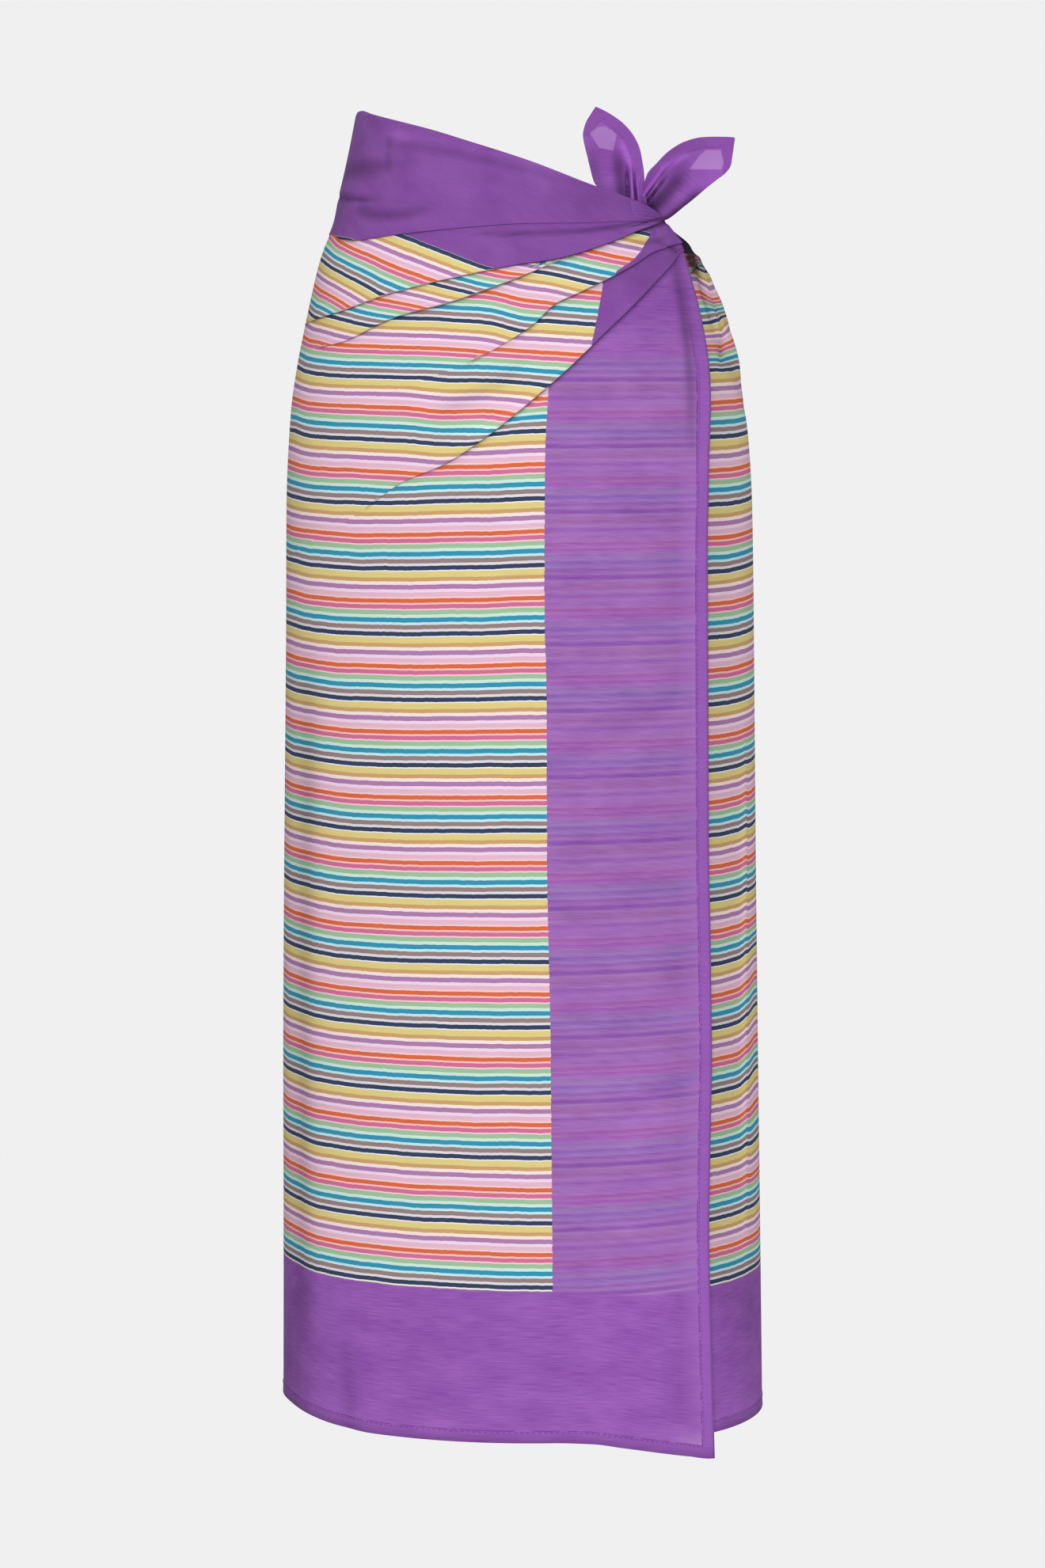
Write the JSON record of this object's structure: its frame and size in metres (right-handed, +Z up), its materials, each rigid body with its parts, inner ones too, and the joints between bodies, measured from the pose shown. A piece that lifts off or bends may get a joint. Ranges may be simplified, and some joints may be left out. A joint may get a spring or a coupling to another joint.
{
  "type": "sarong worn as a wrap skirt",
  "caption": "Hollow full-length wrap skirt of one striped voile oblong with a plain border, knotted at the hip with two ears.",
  "frame": {"origin": "centre of the waist opening, where the wearer's waist holds the garment", "axes": "+Z up, -Y the front of the garment, +X towards the wearer's left hip, where it is knotted"},
  "size_m": [0.3897, 0.2855, 1.0574],
  "materials": {
    "plain_voile": "plain purple cotton voile, matt with fine slubs",
    "striped_voile": "white cotton voile with fine horizontal stripes in ten colours, matt"
  },
  "bodies": {
    "root": {"front_waist_band": "plain_voile", "upper_pleat": "striped_voile", "narrow_pleat": "striped_voile", "middle_pleat": "striped_voile", "lower_pleat": "striped_voile", "side_border": "plain_voile", "front_panel": "striped_voile", "front_bottom_border": "plain_voile", "right_waist_band": "plain_voile", "right_panel": "striped_voile", "right_bottom_border": "plain_voile", "back_waist_band": "plain_voile", "back_panel": "striped_voile", "back_bottom_border": "plain_voile", "hip_waist_band": "plain_voile", "hip_panel": "striped_voile", "hip_bottom_border": "plain_voile", "under_panel": "striped_voile", "under_bottom_border": "plain_voile", "knot": "plain_voile", "inner_ear": "plain_voile", "outer_ear": "plain_voile"}
  },
  "joints": []
}
